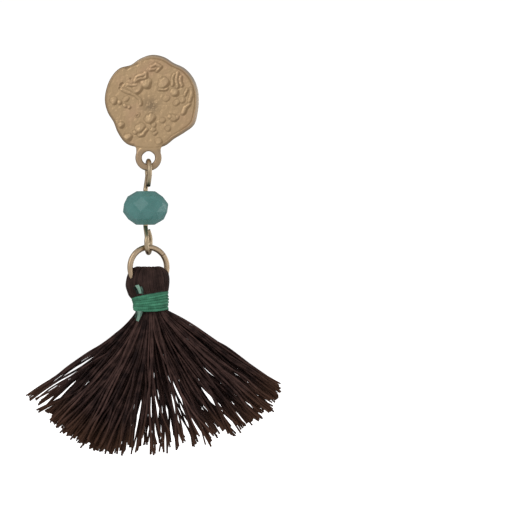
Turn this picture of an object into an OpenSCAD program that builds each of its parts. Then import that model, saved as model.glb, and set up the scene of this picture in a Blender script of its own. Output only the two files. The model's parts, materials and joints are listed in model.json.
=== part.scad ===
// Tassel earring: a cast disc on a post, a glass bead on an eye pin and a thread tassel on a ring.
// Millimetres. The front faces -Y and up is +Z. The origin is where the post leaves the disc's back.

/* [Disc] */
// Width of the disc
disc_w = 16.5; // [15:0.1:19]
// Height of the disc
disc_h = 16.2; // [15:0.1:19]
// Thickness of the disc
disc_t = 1.5; // [1.3:0.05:2]
// Height of the tallest cast relief
relief_h = 0.35; // [0.1:0.05:0.6]
// Widest part of the slanted edge, at the right
bevel_w = 0.5; // [0.25:0.05:0.8]
// Width of the small broken edge all round
edge_break = 0.2; // [0.1:0.05:0.25]
// Post below the top of the disc
post_drop = 2.4; // [2:0.1:4]
// Post to the left of the disc's middle
post_side = 0.6; // [0:0.1:1.5]

/* [Hanging loop] */
// Outside diameter of the loop
loop_d = 4.6; // [4:0.1:6]
// Diameter of the hole
hole_d = 2.3; // [2.2:0.05:3]
// Thickness of the loop
loop_t = 1.2; // [0.8:0.05:1.3]
// Middle of the hole below the disc's lower edge
loop_drop = 1.95; // [1.6:0.05:3]

/* [Ear post] */
// Diameter of the post
post_d = 0.8; // [0.6:0.05:1.1]
// Length of the post behind the disc
post_l = 13.6; // [9:0.1:16]
// Width of the post's square end in its socket
tang_w = 0.4; // [0.3:0.05:0.5]
// Depth of the socket in the disc
socket_depth = 0.8; // [0.5:0.05:1]

/* [Eye pin] */
// Diameter of the pin's wire
wire_d = 0.8; // [0.6:0.05:0.9]
// Outside width of each eye
eye_w = 4.4; // [4.2:0.1:6]
// Height of the upper eye above the bead
upper_eye_h = 5.7; // [5:0.1:8]
// Height of the lower eye below the bead
lower_eye_h = 5.3; // [5:0.1:8]
// Stem to the left of the middle of the eyes
stem_side = 0.5; // [0:0.05:0.8]
// Turn of each eye out of the fore-and-aft plane
eye_turn = 9; // [0:1:15]

/* [Bead] */
// Diameter of the bead
bead_d = 8; // [6:0.1:10]
// Height of the bead
bead_h = 6; // [4:0.1:8]
// Number of facets round the bead
bead_n = 9; // [8:1:12]
// Turn of the bead about the pin
bead_turn = 20; // [0:5:40]

/* [Jump ring] */
// Outside diameter of the ring
ring_d = 8; // [7.6:0.1:10]
// Diameter of the ring's wire
ring_wire = 1; // [0.8:0.05:1.1]
// Turn of the ring about the vertical
ring_turn = 25; // [0:1:35]
// Width of the slit where the ring is closed
slit_w = 0.12; // [0.06:0.02:0.3]
// Turn of the slit from the top of the ring
slit_turn = 50; // [0:5:60]

/* [Tassel] */
// Width of the head
head_w = 7.9; // [7.5:0.1:10]
// Depth of the head
head_d = 6.2; // [5.8:0.1:8]
// Height of the threads inside the ring
head_fill = 3.1; // [2.5:0.1:3.4]
// Width of the neck under the binding
neck_w = 5.1; // [4.4:0.1:6]
// Depth of the neck under the binding
neck_d = 4.8; // [4.2:0.1:5.6]
// Neck to the right of the ring's middle
neck_side = 0.45; // [0:0.05:0.8]
// Length of the skirt's strands
skirt_l = 27.6; // [20:0.1:35]
// Lean of the outermost locks to the sides
fan_side = 49; // [35:1:58]
// Turn of the whole fan to the right
fan_turn = 3; // [0:1:6]
// Lean of the outermost locks to the front and back
fan_depth = 16; // [10:1:25]
// Locks in each middle row
locks_across = 11; // [9:1:13]

/* [Binding] */
// Diameter of the binding thread
thread_d = 0.5; // [0.3:0.05:0.7]
// Height of the binding at the right
bind_h = 3.6; // [2.5:0.1:5]
// Rise of the binding's upper edge from left to right
bind_rise = 1.4; // [0:0.1:1.6]

/* [Fits] */
// Gap between parts that hang on each other
hang_gap = 0.08; // [0.04:0.01:0.15]
// Gap round the post in its socket
post_gap = 0.02; // [0.01:0.01:0.05]
// Gap between the bead and the pin
bead_gap = 0.1; // [0.05:0.01:0.15]
// Gap between the bead and each eye
end_gap = 0.05; // [0.02:0.01:0.1]
// Gap between the threads and the ring
thread_gap = 0.1; // [0.05:0.01:0.2]
// Gap between the neck and the binding
bind_gap = 0.06; // [0.04:0.01:0.15]

/* [Hidden] */
$fn = 48;

// Where each part hangs, from the post down
disc_x = post_side;
disc_z = post_drop - disc_h / 2;
plane_y = -disc_t / 2;
hole_z = disc_z - disc_h / 2 - loop_drop;
wire_r = wire_d / 2;
eye_r = eye_w / 2 - wire_r;
eye_inner_r = eye_r - wire_r;
eye_dip = eye_inner_r - sqrt(pow(eye_inner_r, 2) - pow(loop_t / 2, 2));
upper_eye_z = hole_z - hole_d / 2 + wire_r + eye_dip + hang_gap;
stem_top_z = upper_eye_z + wire_r - upper_eye_h;
bead_z = stem_top_z - bead_h / 2;
stem_bottom_z = stem_top_z - bead_h;
lower_eye_z = stem_bottom_z - lower_eye_h + wire_r;
ring_r = (ring_d - ring_wire) / 2;
ring_top_z = lower_eye_z + wire_r + ring_wire / 2 + hang_gap;
ring_z = ring_top_z - ring_r;
ring_low_z = ring_z - ring_d / 2;
head_top_z = ring_low_z + ring_wire + head_fill;
bind_top_z = ring_low_z - bind_gap;
bind_low_z = bind_top_z - bind_h;
fan_z = bind_low_z + bind_h / 3;

// Edge of the disc: direction in degrees, and distance as a share of the half size
EDGE_STEP = 15;
edge_shares = [
    1.00, 1.01, 1.01, 0.99, 0.94, 0.98,
    0.99, 0.94, 0.89, 0.98, 1.00, 1.00,
    1.00, 0.975, 0.94, 1.01, 1.08, 1.05,
    1.03, 1.02, 0.955, 0.98, 1.04, 1.01
];

// Cast bumps and dents: place, radius and height as shares of the half size and the relief
BUMP_X = 0;
BUMP_Z = 1;
BUMP_R = 2;
BUMP_H = 3;
bumps = [
    [-0.12, 0.37, 0.11, 0.9],
    [-0.32, 0.26, 0.11, 0.9],
    [0.25, 0.37, 0.14, 1.0],
    [0.49, 0.17, 0.09, 0.9],
    [-0.04, -0.39, 0.13, 0.8],
    [-0.25, -0.59, 0.11, 0.7],
    [-0.65, -0.53, 0.08, 0.8],
    [-0.52, -0.80, 0.10, 1.0],
    [-0.81, 0.00, 0.09, 0.6],
    [0.14, -0.88, 0.08, 0.6],
    [0.53, -0.05, 0.08, 0.4],
    [0.46, -0.38, 0.09, 0.5],
    [0.05, -0.58, 0.09, 0.4],
    [-0.53, -0.10, 0.09, 0.4],
    [-0.01, -0.14, 0.20, -0.6],
    [-0.64, 0.35, 0.07, -0.4]
];

// Cast ridges: both ends, half width and height as shares of the half size and the relief
RIDGE_X0 = 0;
RIDGE_Z0 = 1;
RIDGE_X1 = 2;
RIDGE_Z1 = 3;
RIDGE_R = 4;
RIDGE_H = 5;
ridges = [
    [-0.32, 0.47, -0.12, 0.58, 0.07, 0.8],
    [-0.50, 0.32, -0.34, 0.28, 0.06, 0.6],
    [0.19, 0.22, 0.34, 0.24, 0.05, 0.5],
    [0.04, 0.68, 0.12, 0.76, 0.06, 0.6],
    [0.12, 0.76, 0.24, 0.68, 0.06, 0.6],
    [0.46, 0.56, 0.44, 0.33, 0.05, 0.6],
    [0.55, 0.56, 0.54, 0.30, 0.05, 0.7],
    [0.64, 0.47, 0.63, 0.33, 0.05, 0.6],
    [-0.12, -0.68, -0.22, -0.78, 0.06, 0.6],
    [0.76, -0.12, 0.63, -0.30, 0.06, 0.8],
    [0.80, 0.23, 0.84, 0.08, 0.05, 0.6],
    [-0.63, 0.24, -0.36, 0.11, 0.05, 0.4],
    [-0.36, 0.11, -0.25, -0.03, 0.05, 0.4],
    [-0.50, 0.68, -0.30, 0.78, 0.05, -0.6],
    [0.20, 0.90, 0.52, 0.70, 0.05, -0.6]
];

// Head of the tassel from the top: height, half width, half depth, shift and rise to the right as shares
HEAD_Z = 0;
HEAD_W = 1;
HEAD_D = 2;
HEAD_X = 3;
HEAD_RISE = 4;
head_sections = [
    [0.00, 0.55, 0.22, 0.0, 0.0],
    [0.05, 0.72, 0.42, 0.0, 0.0],
    [0.16, 0.88, 0.70, -0.1, 0.0],
    [0.35, 0.97, 0.93, -0.3, 0.2],
    [0.60, 1.00, 1.00, -0.4, 0.5],
    [0.85, 0.94, 0.97, -0.1, 0.8],
    [1.00, 0.80, 0.88, 0.7, 1.0]
];

// Rings of the bead's cut from below: height and radius as shares, each turned half a facet on
CUT_Z = 0;
CUT_R = 1;
cuts = [
    [-1.00, 0.42],
    [-0.68, 0.80],
    [-0.24, 1.00],
    [0.24, 1.00],
    [0.68, 0.80],
    [1.00, 0.42]
];

// The skirt's rows of locks from front to back: share of the depth, and locks fewer than the middle row
ROW_DEPTH = 0;
ROW_FEWER = 1;
lock_rows = [
    [-1.0, 4],
    [-0.5, 2],
    [0.0, 0],
    [0.5, 2],
    [1.0, 4]
];

// The skirt from left to right: place in the fan, and shares of the length, the drop and the parting
FAN_PLACE = 0;
FAN_LENGTH = 1;
FAN_DROP = 2;
FAN_PARTING = 3;
fan_shares = [
    [-1.00, 0.99, 0.08, 0.5],
    [-0.70, 0.99, 0.11, 0.1],
    [-0.40, 0.99, 0.13, 0.2],
    [-0.20, 0.95, 0.14, 0.9],
    [0.05, 0.93, 0.14, 1.0],
    [0.40, 0.94, 0.13, 1.0],
    [0.75, 0.98, 0.10, 0.8],
    [1.00, 1.00, 0.05, 0.6]
];

// Disc: where the slanted edge is widest, how fast it narrows, and the rim's share without relief
bevel_at = 5;
bevel_fall = 0.7;
plain_rim = 0.25;
// The face's unevenness as a share of the relief, and its two waves in degrees across and up
uneven_share = 0.12;
wave_a = [260, 90];
wave_b = [-60, 210];
// Web above the loop as a share of the loop's width
web_share = 0.93;
// Pin: the stem's end in an eye, the bend above it and the cut end's rise, as shares
root_share = 0.85;
knee_share = 0.25;
cut_share = 0.2;
// Each cut end to the right of the stem, as a share of the wire
upper_cut_side = 0.6;
lower_cut_side = 1.1;
// Locks: their places in the neck, their thickness there, and their overlap below it
root_spread_w = 0.72;
root_spread_d = 0.68;
lock_root = 0.11;
lock_overlap = 1.42;
lock_turn = 0.3;
// Parting of the ends: where it starts along a lock, and how much of the width it takes
part_start = 0.5;
part_share = 0.55;
// Binding: the groove between two turns, as shares of a turn and of the thread
groove_edge = 0.15;
groove_share = 0.8;

// Points round each meshed part, and steps along it
disc_sides = 84;
disc_rows = 18;
wire_sides = 10;
eye_steps = 12;
soft_sides = 24;
torus_sides = 24;
lock_sides = 7;
lock_steps = 4;

function wrap(i, n) = ((i % n) + n) % n;
function edge_at(i) = edge_shares[wrap(i, len(edge_shares))];
function smooth(p, q, r, s, t) =
    q + t / 2 * (r - p + t * (2 * p - 5 * q + 4 * r - s + t * (3 * (q - r) + s - p)));
function edge_share(a) =
    let (i = floor(a / EDGE_STEP), t = a / EDGE_STEP - i)
    smooth(edge_at(i - 1), edge_at(i), edge_at(i + 1), edge_at(i + 2), t);

// A soft round swell, 1 in the middle and 0 at its edge
function swell(d) = d >= 1 ? 0 : pow(1 - d * d, 1.5);
function bump_height(x, z, b) = b[BUMP_H] * swell(norm([x - b[BUMP_X], z - b[BUMP_Z]]) / b[BUMP_R]);
function ridge_height(x, z, r) =
    let (run = [r[RIDGE_X1] - r[RIDGE_X0], r[RIDGE_Z1] - r[RIDGE_Z0]],
         from = [x - r[RIDGE_X0], z - r[RIDGE_Z0]],
         t = max(0, min(1, from * run / (run * run))))
    r[RIDGE_H] * swell(norm(from - t * run) / r[RIDGE_R]);
function total(list, i = 0) = i == len(list) - 1 ? list[i] : list[i] + total(list, i + 1);
function uneven(x, z) = uneven_share * sin(wave_a * [x, z]) * cos(wave_b * [x, z]);
function relief(x, z) = relief_h * (
    total([for (b = bumps) bump_height(x, z, b)])
    + total([for (r = ridges) ridge_height(x, z, r)])
    + uneven(x, z)
);

// The slanted edge is widest to the right and fades to the left
function bevel(a) = edge_break + (bevel_w - edge_break) * pow(max(0, cos(a - bevel_at)), bevel_fall);
function edge_point(a, inset, y) =
    let (share = edge_share(a), r = norm([disc_w * cos(a), disc_h * sin(a)]) / 2)
    [disc_x + disc_w / 2 * cos(a) * share * (1 - inset / r),
     y,
     disc_z + disc_h / 2 * sin(a) * share * (1 - inset / r)];
function face_point(a, row) =
    let (share = edge_share(a) * (1 - bevel(a) * 2 / disc_w) * row,
         x = cos(a) * share,
         z = sin(a) * share,
         fade = min(1, (1 - row) / plain_rim))
    [disc_x + disc_w / 2 * x, -disc_t - relief(x, z) * fade, disc_z + disc_h / 2 * z];
function ring_faces(lower, upper, n) = [
    for (i = [0 : n - 1])
        let (j = (i + 1) % n)
        for (face = [[lower + i, upper + j, lower + j], [lower + i, upper + i, upper + j]]) face
];

// A closed skin through rows of points, each row running the same way round
module skin(rows) {
    n = len(rows[0]);
    last = (len(rows) - 1) * n;
    start = last + n;
    end = start + 1;
    ends = [for (row = [rows[0], rows[len(rows) - 1]]) total(row) / n];
    points = concat([for (row = rows) each row], ends);
    sides = [for (k = [0 : len(rows) - 2]) each ring_faces(k * n, (k + 1) * n, n)];
    start_fan = [for (i = [0 : n - 1]) [start, i, (i + 1) % n]];
    end_fan = [for (i = [0 : n - 1]) [end, last + (i + 1) % n, last + i]];
    polyhedron(points, concat(start_fan, sides, end_fan));
}

module disc_plate() {
    angles = [for (i = [0 : disc_sides - 1]) i * 360 / disc_sides];
    face = [for (row = [disc_rows : -1 : 1]) [for (a = angles) face_point(a, row / disc_rows)]];
    rim = [
        [for (a = angles) edge_point(a, edge_break, 0)],
        [for (a = angles) edge_point(a, 0, -edge_break)],
        [for (a = angles) edge_point(a, 0, -disc_t + bevel(a))]
    ];
    skin(concat(rim, face));
}

module loop_plate() {
    web_w = loop_d * web_share;
    web_top = disc_z - disc_h / 2 + loop_drop;
    translate([0, plane_y, hole_z]) rotate([90, 0, 0]) {
        cylinder(d = loop_d, h = loop_t - 2 * edge_break, center = true);
        for (side = [0, 1])
            mirror([0, 0, side])
                translate([0, 0, loop_t / 2 - edge_break])
                    cylinder(d1 = loop_d, d2 = loop_d - 2 * edge_break, h = edge_break);
    }
    translate([-web_w / 2, plane_y - loop_t / 2 + edge_break / 2, hole_z])
        cube([web_w, loop_t - edge_break, web_top - hole_z]);
}

module disc() {
    socket_w = tang_w + 2 * post_gap;
    color("tan")
        difference() {
            union() {
                disc_plate();
                loop_plate();
            }
            translate([0, plane_y, hole_z]) rotate([90, 0, 0])
                cylinder(d = hole_d, h = 2 * disc_t, center = true);
            translate([-socket_w / 2, -socket_depth, -socket_w / 2])
                cube([socket_w, 2 * socket_depth, socket_w]);
        }
}

module ear_post() {
    tip = post_d / 2;
    color("dimgray")
        translate([0, post_gap, 0]) {
            translate([-tang_w / 2, -socket_depth, -tang_w / 2])
                cube([tang_w, socket_depth + tip, tang_w]);
            rotate([-90, 0, 0]) cylinder(d = post_d, h = post_l - tip);
            translate([0, post_l - tip, 0]) rotate([-90, 0, 0])
                cylinder(d1 = post_d, d2 = post_d / 2, h = tip);
        }
}

// A round wire through a list of points, bent mostly in the fore-and-aft plane
function unit(v) = v / norm(v);
function wire_row(points, k, r) =
    let (before = points[max(0, k - 1)],
         after = points[min(len(points) - 1, k + 1)],
         along = unit(after - before),
         up = unit(cross(along, [1, 0, 0])),
         side = cross(up, along))
    [for (i = [0 : wire_sides - 1])
        let (a = i * 360 / wire_sides)
        points[k] + r * (cos(a) * side + sin(a) * up)];

// One eye above the stem's end at the origin: a leg, a round top and a leg back down to the cut
module eye(height, cut_side) {
    centre_z = height - wire_r - eye_r;
    lean = asin(eye_r / centre_z);
    leg = [eye_r * cos(lean), centre_z - eye_r * sin(lean)];
    turn = tan(eye_turn);
    arc_step = (180 + 2 * lean) / eye_steps;
    root = [[0, 0, -wire_r], [0, 0, 0]];
    knee = [[0, wire_r * knee_share, wire_r]];
    arc = [
        for (k = [0 : eye_steps])
            let (a = k * arc_step - lean, y = eye_r * cos(a))
            [stem_side - y * turn, y, centre_z + eye_r * sin(a)]
    ];
    cut = [[wire_d * cut_side, -leg[0] * cut_share - wire_r / 2, leg[1] * cut_share + wire_r]];
    path = concat(root, knee, arc, cut);
    skin([for (k = [0 : len(path) - 1]) wire_row(path, k, k < 2 ? wire_r * root_share : wire_r)]);
}

module eye_pin() {
    color("darkkhaki")
        translate([-stem_side, plane_y, 0]) {
            translate([0, 0, stem_bottom_z]) cylinder(d = wire_d, h = bead_h);
            translate([0, 0, stem_top_z]) eye(upper_eye_h, upper_cut_side);
            translate([0, 0, stem_bottom_z]) rotate([180, 0, 0]) eye(lower_eye_h, lower_cut_side);
        }
}

module bead() {
    pitch = 360 / bead_n;
    h = bead_h - 2 * end_gap;
    rows = [
        for (k = [0 : len(cuts) - 1])
            let (r = bead_d / 2 * cuts[k][CUT_R], z = h / 2 * cuts[k][CUT_Z])
            [for (i = [0 : bead_n - 1])
                let (a = (i - k / 2) * pitch + bead_turn)
                [r * cos(a), r * sin(a), z]]
    ];
    color("cadetblue")
        translate([-stem_side, plane_y, bead_z])
            difference() {
                skin(rows);
                cylinder(d = wire_d + 2 * bead_gap, h = 2 * bead_h, center = true);
            }
}

module ring_wire_torus(extra) {
    translate([0, plane_y, ring_z])
        rotate([90, 0, ring_turn])
            rotate_extrude() translate([ring_r, 0]) circle(d = ring_wire + 2 * extra);
}

module jump_ring() {
    color("burlywood")
        difference() {
            ring_wire_torus(0);
            translate([0, plane_y, ring_z])
                rotate([0, 0, ring_turn]) rotate([0, slit_turn, 0])
                    translate([0, -ring_wire, ring_r - ring_wire])
                        cube([slit_w, 2 * ring_wire, 2 * ring_wire]);
        }
}

// An oval row round the tassel, which climbs by its rise from left to right
function oval(x, z, half_w, half_d, rise) = [
    for (i = [0 : soft_sides - 1])
        let (a = -i * 360 / soft_sides)
        [x + half_w * cos(a), plane_y + half_d * sin(a), z + rise / 2 * cos(a)]
];

module head() {
    low_z = bind_top_z - bind_rise / 2;
    span = head_top_z - low_z;
    top = [
        for (s = head_sections)
            oval(neck_side * s[HEAD_X], head_top_z - span * s[HEAD_Z],
                 head_w / 2 * s[HEAD_W], head_d / 2 * s[HEAD_D], bind_rise * s[HEAD_RISE])
    ];
    neck = [
        oval(neck_side, low_z - bind_gap / 2, neck_w / 2, neck_d / 2, bind_rise),
        oval(neck_side, bind_low_z - thread_d, neck_w / 2, neck_d / 2, 0)
    ];
    skin(concat(top, neck));
}

// One of the fan's shares at a place in it, u, which runs from -1 at the left to 1 at the right
function fan_share(u, column) = lookup(u, [for (f = fan_shares) [f[FAN_PLACE], f[column]]]);
function lock_lean(u) = fan_side * u + fan_turn;

// Middle line of a lock, from the binding at t = 0 to its cut end at t = 1
function lock_tip(u, v) =
    let (depth = fan_depth * v,
         l = skirt_l * fan_share(u, FAN_LENGTH))
    [neck_side + l * sin(lock_lean(u)),
     plane_y + l * sin(depth),
     fan_z - l * cos(lock_lean(u)) * cos(depth)];
function lock_point(u, v, t) =
    let (x = neck_side + neck_w / 2 * root_spread_w * u,
         y = plane_y + neck_d / 2 * root_spread_d * v,
         start = [x, y, bind_low_z - bind_gap],
         bend = [x, y, bind_low_z - skirt_l * fan_share(u, FAN_DROP)])
    (1 - t) * (1 - t) * start + 2 * t * (1 - t) * bend + t * t * lock_tip(u, v);

function lock_row(u, v, t) =
    let (across = skirt_l * fan_side * PI / 180 / (locks_across - 1),
         deep = skirt_l * sin(fan_depth) / (len(lock_rows) - 1),
         parted = fan_share(u, FAN_PARTING) * max(0, t - part_start) / (1 - part_start),
         overlap = lock_overlap * (1 - part_share * parted),
         root_w = neck_w * lock_root,
         root_d = neck_d * lock_root,
         half_w = root_w * (1 - t) + across * overlap * t,
         half_d = root_d * (1 - t) + deep * lock_overlap * t,
         lean = lock_lean(u) * min(1, 2 * t),
         middle = lock_point(u, v, t))
    [for (i = [0 : lock_sides - 1])
        let (a = -(i + lock_turn) * 360 / lock_sides)
        middle + [half_w * cos(a) * cos(lean), half_d * sin(a), half_w * cos(a) * sin(lean)]];

module locks() {
    for (row = lock_rows) {
        n = locks_across - row[ROW_FEWER];
        for (i = [0 : n - 1]) {
            u = (2 * i - n + 1) / (locks_across - 1);
            v = row[ROW_DEPTH];
            for (k = [0 : lock_steps - 1])
                hull() skin([lock_row(u, v, k / lock_steps), lock_row(u, v, (k + 1) / lock_steps)]);
        }
    }
}

module tassel() {
    color([0.2, 0.13, 0.12])
        difference() {
            union() {
                head();
                locks();
            }
            ring_wire_torus(thread_gap, $fn = torus_sides);
        }
}

// The binding: a sleeve of wound thread, whose upper turns climb to the right
module binding() {
    turns = floor(bind_h / thread_d);
    inner_w = neck_w / 2 + bind_gap;
    inner_d = neck_d / 2 + bind_gap;
    low_z = bind_low_z + bind_gap;
    function lift(a, share) = low_z + share * (bind_h - 2 * bind_gap - bind_rise * (1 - cos(a)) / 2);
    function wound(out, share) = [
        for (i = [0 : soft_sides - 1])
            let (a = i * 360 / soft_sides)
            [neck_side + (inner_w + out) * cos(a), plane_y + (inner_d + out) * sin(a), lift(a, share)]
    ];
    outside = [
        for (k = [0 : turns - 1])
            for (turn = [[groove_edge, groove_share], [0.5, 1], [1 - groove_edge, groove_share]])
                wound(thread_d * turn[1], (k + turn[0]) / turns)
    ];
    inside = [wound(0, 1), wound(0, 0)];
    rows = concat(outside, inside);
    n = soft_sides;
    last = (len(rows) - 1) * n;
    points = [for (row = rows) each row];
    faces = concat(
        [for (k = [0 : len(rows) - 2]) each ring_faces(k * n, (k + 1) * n, n)],
        ring_faces(last, 0, n)
    );
    color([0.3, 0.52, 0.4]) polyhedron(points, faces);
}

disc();
ear_post();
eye_pin();
bead();
jump_ring();
tassel();
binding();
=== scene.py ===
# Tassel earring: a cast disc on a post, a cut glass bead on an eye pin and a fanned thread tassel.
# Metres. The front faces -Y, up is +Z, and the origin is where the post leaves the disc's back.
import json
import math

import bmesh
import bpy
import numpy as np
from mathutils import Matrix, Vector, noise


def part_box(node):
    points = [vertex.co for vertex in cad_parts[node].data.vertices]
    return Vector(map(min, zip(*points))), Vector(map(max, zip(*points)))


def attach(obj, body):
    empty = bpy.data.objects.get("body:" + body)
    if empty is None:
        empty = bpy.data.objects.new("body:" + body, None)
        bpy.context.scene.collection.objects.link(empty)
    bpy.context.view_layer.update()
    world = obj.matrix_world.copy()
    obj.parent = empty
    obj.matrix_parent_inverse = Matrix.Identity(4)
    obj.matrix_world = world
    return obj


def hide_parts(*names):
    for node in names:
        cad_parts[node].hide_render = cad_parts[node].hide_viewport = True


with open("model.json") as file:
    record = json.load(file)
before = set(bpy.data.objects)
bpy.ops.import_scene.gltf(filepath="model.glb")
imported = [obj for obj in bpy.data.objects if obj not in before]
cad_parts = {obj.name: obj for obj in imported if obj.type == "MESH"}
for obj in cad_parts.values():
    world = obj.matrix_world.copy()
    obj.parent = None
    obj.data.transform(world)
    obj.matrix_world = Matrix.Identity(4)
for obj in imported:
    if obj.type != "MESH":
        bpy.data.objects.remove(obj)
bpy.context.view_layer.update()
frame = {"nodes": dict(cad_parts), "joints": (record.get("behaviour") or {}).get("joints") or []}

MM = 0.001
joints = {joint["name"]: Vector(joint["pos_m"]) / MM for joint in frame["joints"]}

# Cast disc
# One zinc casting: an uneven plate with droplets and runs raised on its face, and a hanging loop
# below. Its satin gold plating is reddish in places. Its rim has a painted highlight at the right and
# painted shade elsewhere, and painted shade also lies in its creases, on the lee sides of its marks and
# on its loop.
disc_w = 16.5
disc_h = 16.2
disc_t = 1.5
disc_x = 0.6
relief_h = 0.155
bevel_w = 0.5
edge_break = 0.2
loop_d = 4.6
hole_d = 2.3
loop_t = 1.2
loop_drop = 1.95
web_w = 4.3
cast_grid = 0.085
hole = joints["link_sway"]
disc_z = hole.z + loop_drop + disc_h / 2

# Distance of the edge as a share of the half size, every 15 degrees from the right
edge_shares = np.array([
    1.00, 1.01, 1.01, 0.99, 0.94, 0.98,
    0.99, 0.94, 0.89, 0.98, 1.00, 1.00,
    1.00, 0.975, 0.94, 1.01, 1.08, 1.05,
    1.03, 1.02, 0.955, 0.98, 1.04, 1.01,
])

# Droplets: place, radius and height as shares, and how hollow the middle is
droplets = [
    (-0.12, 0.37, 0.110, 0.9, 0.2),
    (-0.32, 0.26, 0.110, 0.9, 0.5),
    (0.25, 0.38, 0.115, 1.0, 0.3),
    (0.49, 0.17, 0.090, 0.9, 0.3),
    (-0.04, -0.39, 0.105, 0.8, 0.3),
    (-0.25, -0.59, 0.100, 0.7, 0.2),
    (-0.65, -0.53, 0.070, 0.8, 0.0),
    (-0.52, -0.80, 0.090, 1.0, 0.0),
    (-0.81, 0.00, 0.080, 0.6, 0.1),
    (0.14, -0.88, 0.080, 0.6, 0.2),
    (0.53, -0.05, 0.070, 0.4, 0.3),
    (0.46, -0.38, 0.080, 0.5, 0.5),
    (0.39, -0.36, 0.050, 0.4, 0.3),
    (0.54, -0.36, 0.050, 0.4, 0.3),
    (0.05, -0.53, 0.050, 0.5, 0.2),
    (0.02, -0.62, 0.060, 0.4, 0.2),
    (0.07, -0.70, 0.050, 0.4, 0.0),
    (-0.57, -0.12, 0.045, 0.4, 0.0),
    (-0.49, -0.13, 0.045, 0.4, 0.0),
    (-0.55, 0.04, 0.060, 0.3, 0.3),
    (-0.68, -0.05, 0.050, 0.4, 0.0),
    (0.35, -0.60, 0.060, 0.3, 0.2),
    (0.22, -0.42, 0.060, 0.3, 0.2),
    (-0.35, -0.70, 0.050, 0.4, 0.1),
    (-0.30, -0.32, 0.045, 0.3, 0.0),
    (-0.45, 0.42, 0.060, 0.3, 0.4),
    (0.30, 0.05, 0.080, 0.3, 0.5),
    (0.63, 0.02, 0.070, 0.3, 0.4),
]

# Runs and creases: both ends, half width and height as shares; below 0 is cut in
runs = [
    (-0.31, 0.50, -0.13, 0.59, 0.045, 0.8),
    (-0.34, 0.42, -0.14, 0.50, 0.045, 0.7),
    (-0.34, 0.42, -0.31, 0.50, 0.045, 0.6),
    (-0.14, 0.50, -0.13, 0.59, 0.045, 0.8),
    (-0.52, 0.32, -0.34, 0.34, 0.045, 0.6),
    (-0.50, 0.28, -0.38, 0.20, 0.035, 0.4),
    (0.16, 0.23, 0.33, 0.25, 0.035, 0.5),
    (-0.01, 0.74, 0.08, 0.79, 0.040, 0.6),
    (0.08, 0.79, 0.18, 0.72, 0.040, 0.7),
    (0.18, 0.72, 0.12, 0.66, 0.040, 0.6),
    (-0.02, 0.66, 0.06, 0.69, 0.040, 0.5),
    (0.47, 0.56, 0.43, 0.33, 0.036, 0.5),
    (0.54, 0.58, 0.54, 0.30, 0.036, 0.6),
    (0.61, 0.50, 0.64, 0.32, 0.036, 0.5),
    (-0.12, -0.66, -0.18, -0.73, 0.045, 0.7),
    (-0.18, -0.73, -0.27, -0.76, 0.040, 0.5),
    (0.78, -0.10, 0.72, -0.16, 0.045, 0.5),
    (0.72, -0.16, 0.66, -0.28, 0.045, 0.5),
    (0.83, 0.25, 0.86, 0.10, 0.040, 0.4),
    (0.86, 0.10, 0.80, -0.02, 0.040, 0.4),
    (0.74, 0.22, 0.72, 0.12, 0.035, 0.4),
    (-0.64, 0.26, -0.50, 0.17, 0.035, 0.35),
    (-0.50, 0.17, -0.36, 0.11, 0.035, 0.35),
    (-0.36, 0.11, -0.26, 0.03, 0.035, 0.35),
    (-0.26, 0.03, -0.23, -0.08, 0.035, 0.35),
    (-0.54, 0.70, -0.32, 0.78, 0.035, -0.6),
]
pits = [
    (-0.64, 0.35, 0.045, 0.7),
    (-0.66, 0.27, 0.035, 0.5),
    (-0.44, 0.47, 0.030, 0.4),
    (-0.30, -0.33, 0.030, 0.4),
]

# The sunk dent, the groove inside the rim, the swell of the plain face, the waver of the marks and
# how far droplets and runs spread and rise, all as shares
dent_x = -0.01
dent_z = -0.12
dent_r = 0.24
dent_depth = 0.25
dent_fall = 2.5
groove_in = 0.085
groove_w = 0.018
groove_depth = 0.5
swell = 0.05
waver = 0.011
droplet_spread = 1.2
droplet_lean = 0.35
run_spread = 1.35
run_rise = 0.85
full_hollow = 200
full_slope = 8

# Colour layers: the name that they are stored under, how strongly they show, their colour. The dent is
# a darker, browner patch of the plating. The others are painted light: a painted highlight on the raised
# marks and on the rim at the upper right, and painted shade on the relief, on the rest of the rim and on
# the loop
tone_and_painted_light = [
    ("dent", 1.0, (0.38, 0.27, 0.165)),
    ("raised", 0.3, (0.76, 0.55, 0.34)),
    ("relief_shade", 0.65, (0.20, 0.12, 0.06)),
    ("rim highlight", 0.75, (0.50, 0.45, 0.385)),
    ("rim shade", 0.55, (0.17, 0.12, 0.08)),
    ("loop_shade", 0.6, (0.42, 0.31, 0.21)),
]


def edge_share(angle):
    """Distance of the edge at an angle, along a smooth curve through the shares."""
    count = len(edge_shares)
    place = np.degrees(angle) % 360 / (360 / count)
    first = np.floor(place).astype(int)
    t = place - first
    p, q, r, s = (edge_shares[(first + k) % count] for k in (-1, 0, 1, 2))
    return q + t / 2 * (r - p + t * (2 * p - 5 * q + 4 * r - s + t * (3 * (q - r) + s - p)))


def side_share(angle, towards, power):
    """1 at the side of the disc that lies towards an angle in degrees, and 0 at the far side."""
    return np.maximum(0, np.cos(angle - math.radians(towards))) ** power


def bevel(angle):
    """Width of the slanted edge, widest at the right."""
    return edge_break + (bevel_w - edge_break) * side_share(angle, 5, 0.7)


def smooth_step(value, low, high):
    """0 below low, 1 above high and a smooth rise between them."""
    t = np.clip((value - low) / (high - low), 0, 1)
    return t * t * (3 - 2 * t)


def dent_share(x, z):
    """1 in the middle of the dent, falling off smoothly round it."""
    return np.exp(-dent_fall * (np.hypot(x - dent_x, z - dent_z) / dent_r) ** 2)


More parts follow.
